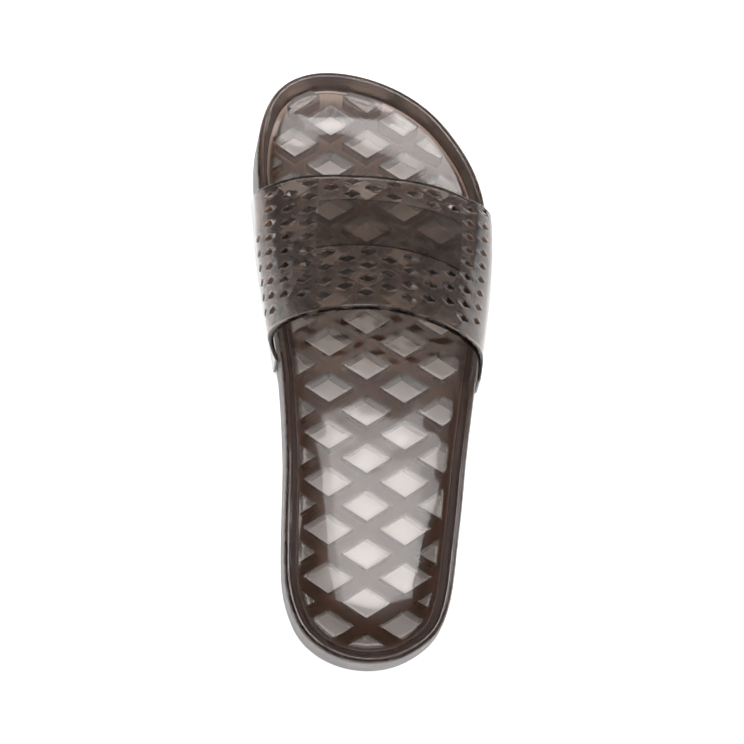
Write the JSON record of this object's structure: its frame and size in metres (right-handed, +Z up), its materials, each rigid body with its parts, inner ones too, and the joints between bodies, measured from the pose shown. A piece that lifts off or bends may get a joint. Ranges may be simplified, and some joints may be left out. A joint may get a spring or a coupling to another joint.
{
  "type": "slide sandal",
  "caption": "Clear moulded slide sandal for the right foot: one wide arched strap lapped on a thick cupped sole with an open diamond lattice underneath.",
  "frame": {"origin": "middle of the shoe's bounding box in plan, on the floor it stands on", "axes": "+Z up, +Y towards the toe, +X towards the lateral (little toe) side"},
  "size_m": [0.1069, 0.2602, 0.0658],
  "materials": {
    "clear_sole": "glossy clear flexible plastic, smoky grey brown",
    "clear_strap": "glossy clear flexible plastic, smoky grey brown, with small diamond pits"
  },
  "bodies": {
    "root": {"sole": "clear_sole", "strap_upper": "clear_strap"}
  },
  "joints": []
}
